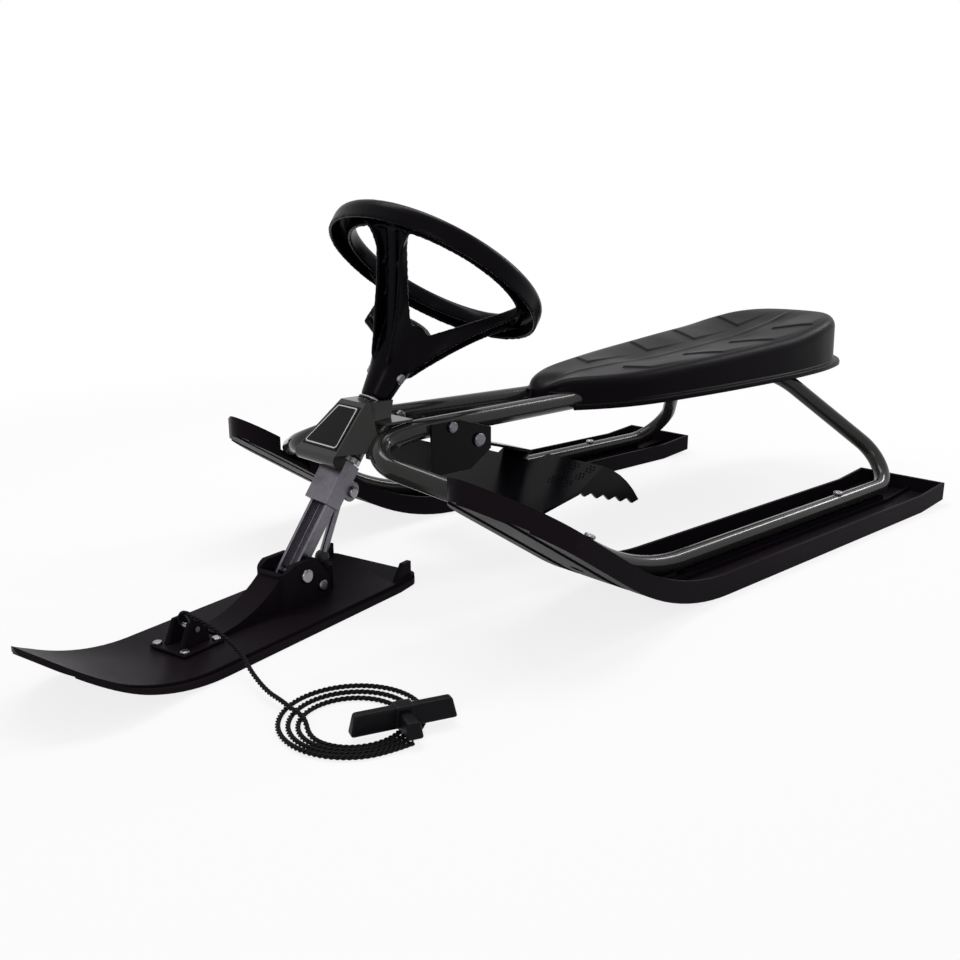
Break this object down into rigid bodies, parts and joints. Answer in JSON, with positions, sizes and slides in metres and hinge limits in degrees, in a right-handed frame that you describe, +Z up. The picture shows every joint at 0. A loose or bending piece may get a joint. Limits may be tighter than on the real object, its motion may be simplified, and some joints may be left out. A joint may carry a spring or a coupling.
{
  "type": "steering sled",
  "caption": "Black snow sled with two upturned rear skis on a bent tube frame, a moulded seat, a toothed foot brake and a steering wheel that turns a small front ski.",
  "frame": {"origin": "on the snow, under the middle of the sled's length and width, its rope left out", "axes": "+X to the rider's left, +Y to the rear, +Z up"},
  "size_m": [0.5399, 1.1538, 0.376],
  "materials": {
    "frame_paint": "semi-gloss charcoal",
    "brake_paint": "gloss black",
    "ski_plastic": "satin black",
    "seat_plastic": "fine grain black",
    "wheel_plastic": "satin black",
    "zinc": "zinc plated",
    "spring_steel": "drawn wire",
    "nylon": "matte black",
    "rubber": "matte black",
    "label": "gloss black with a pale border",
    "rope": "twisted black cord"
  },
  "bodies": {
    "frame": {"frame_tube_left": "frame_paint", "frame_tube_right": "frame_paint", "head_box": "frame_paint", "head_tube": "frame_paint", "head_gusset": "frame_paint", "head_bush_upper": "nylon", "head_bush_lower": "nylon", "label_plate": "label", "rear_ski_left": "ski_plastic", "rear_ski_right": "ski_plastic", "ski_bolts": "zinc", "ski_nuts": "zinc", "seat_shell": "seat_plastic", "seat_strap_front": "frame_paint", "seat_strap_rear": "frame_paint", "seat_screws": "zinc", "brake_bracket": "brake_paint", "bracket_bolts": "zinc", "bracket_nuts": "zinc", "brake_axle": "zinc", "brake_axle_nut": "zinc", "brake_spacer": "zinc"},
    "brake": {"brake_lever": "brake_paint", "brake_bush": "nylon", "brake_spring": "spring_steel"},
    "steering": {"steering_wheel": "wheel_plastic", "steering_column": "zinc", "wheel_bolt": "zinc", "wheel_nut": "zinc", "column_washer": "zinc", "column_collar": "zinc", "fork_yoke": "zinc", "fork_bolt": "zinc", "fork_nut": "zinc", "fork_leg": "zinc", "stop_stay": "zinc", "stop_ball": "rubber"},
    "front_ski": {"front_ski": "ski_plastic", "pivot_pin": "zinc", "pivot_nut": "zinc", "pivot_bushes": "nylon", "tower_bolt": "zinc", "tower_nut": "zinc", "rope_anchor": "ski_plastic", "anchor_screws": "zinc", "pull_rope": "rope", "rope_coil": "rope", "rope_handle": "nylon"}
  },
  "joints": [
    {"name": "steer", "type": "hinge", "parent": "frame", "child": "steering", "pos_m": [0, -0.31528, 0.03697], "axis": [0, 0.5635, 0.8261], "range_deg": [-49, 15]},
    {"name": "ski_pitch", "type": "hinge", "parent": "steering", "child": "front_ski", "pos_m": [0, -0.31528, 0.03697], "axis": [-0.9704, -0.2416, 0], "range_deg": [0, 12]},
    {"name": "brake_pedal", "type": "hinge", "parent": "frame", "child": "brake", "pos_m": [0, -0.12438, 0.1447], "axis": [-1, 0, 0], "range_deg": [0, 34], "stiffness_Nm_per_rad": 1, "springref_deg": -57.3}
  ]
}
